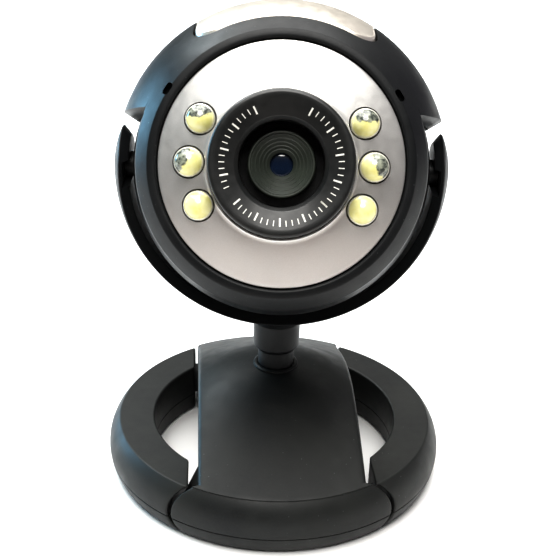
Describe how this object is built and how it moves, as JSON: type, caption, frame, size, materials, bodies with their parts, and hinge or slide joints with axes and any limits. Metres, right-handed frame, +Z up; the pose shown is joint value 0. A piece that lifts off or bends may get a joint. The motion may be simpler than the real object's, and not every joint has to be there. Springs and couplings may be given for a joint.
{
  "type": "webcam on folding clip stand",
  "caption": "Round webcam with lamps and a manual focus ring, held in a swivelling C-shaped yoke on a ring-shaped folding clip stand.",
  "frame": {"origin": "centre of the stand's ring, on the desk surface it stands on", "axes": "+Z up, -Y the way the camera faces, +X to the right as seen from the front"},
  "size_m": [0.0604, 0.0604, 0.0843],
  "materials": {
    "satin_black": "satin moulded",
    "inner_black": "matte moulded",
    "gloss_black": "semi-gloss",
    "barrel_black": "semi-gloss",
    "satin_silver": "satin silver paint",
    "lamp_epoxy": "clear moulded over yellow phosphor",
    "lens_glass": "coated, polished",
    "filter_glass": "coated, polished",
    "pad_rubber": "matte",
    "screw_steel": "zinc plated",
    "spring_steel": "bright drawn",
    "microphone_can": "satin",
    "board_green": "solder mask",
    "board_white": "solder mask",
    "sensor_ceramic": "glazed package",
    "connector_cream": "moulded"
  },
  "bodies": {
    "bridge": {"bridge_shell": "satin_black", "lip_base": "satin_black", "bridge_cover": "inner_black", "bridge_pads": "pad_rubber", "bridge_screws": "screw_steel", "clip_spring": "spring_steel", "spring_washer": "spring_steel"},
    "clip_legs": {"left_leg_top": "satin_black", "left_leg_bottom": "satin_black", "right_leg_top": "satin_black", "right_leg_bottom": "satin_black", "hinge_barrel": "inner_black", "hinge_pin": "screw_steel", "leg_screws": "screw_steel", "leg_pads": "pad_rubber"},
    "yoke": {"yoke": "satin_black", "swivel_washer": "screw_steel", "swivel_screw": "screw_steel"},
    "head": {"hood_bezel": "satin_black", "rear_cup": "satin_black", "face_plate": "satin_silver", "housing_screws": "screw_steel", "cable_gland": "pad_rubber", "main_board": "board_green", "board_screws": "screw_steel", "image_sensor": "sensor_ceramic", "controller_chip": "inner_black", "board_header": "connector_cream", "tact_switch": "inner_black", "lens_holder": "inner_black", "holder_screws": "screw_steel", "ir_filter": "filter_glass", "led_board": "board_white", "led_lamps": "lamp_epoxy", "led_leads": "screw_steel", "microphone": "microphone_can"},
    "focus_ring": {"focus_ring": "gloss_black"},
    "lens_barrel": {"lens_barrel": "barrel_black", "front_lens": "lens_glass", "lens_spacer": "inner_black", "rear_lens": "lens_glass", "lens_retainer": "inner_black"},
    "button": {"snapshot_button": "satin_silver"}
  },
  "joints": [
    {"name": "legs_fold", "type": "hinge", "parent": "bridge", "child": "clip_legs", "pos_m": [0, 0.02, 0.005], "axis": [1, 0, 0], "range_deg": [0, 75], "stiffness_Nm_per_rad": 0.02, "springref_deg": -20.05},
    {"name": "stem_swivel", "type": "hinge", "parent": "bridge", "child": "yoke", "pos_m": [0, 0, 0.02], "axis": [0, 0, 1], "continuous": true},
    {"name": "head_tilt", "type": "hinge", "parent": "yoke", "child": "head", "pos_m": [0, 0, 0.057], "axis": [0.9972, -0.075, 0], "range_deg": [-38, 32]},
    {"name": "focus_turn", "type": "hinge", "parent": "head", "child": "focus_ring", "pos_m": [-0.00139, -0.01856, 0.06433], "axis": [-0.0698, -0.9278, 0.3665], "range_deg": [-170, 170]},
    {"name": "barrel_travel", "type": "slide", "parent": "focus_ring", "child": "lens_barrel", "axis": [-0.0698, -0.9278, 0.3665], "range_m": [-0.000236, 0.000236]},
    {"name": "button_press", "type": "slide", "parent": "head", "child": "button", "axis": [-0.0275, -0.3655, -0.9304], "range_m": [0, 0.0006], "stiffness_N_per_m": 800, "springref_m": -0.0005}
  ],
  "couplings": [
    {"joint": "focus_turn", "follows": "barrel_travel", "rad_per_m": 12566}
  ]
}
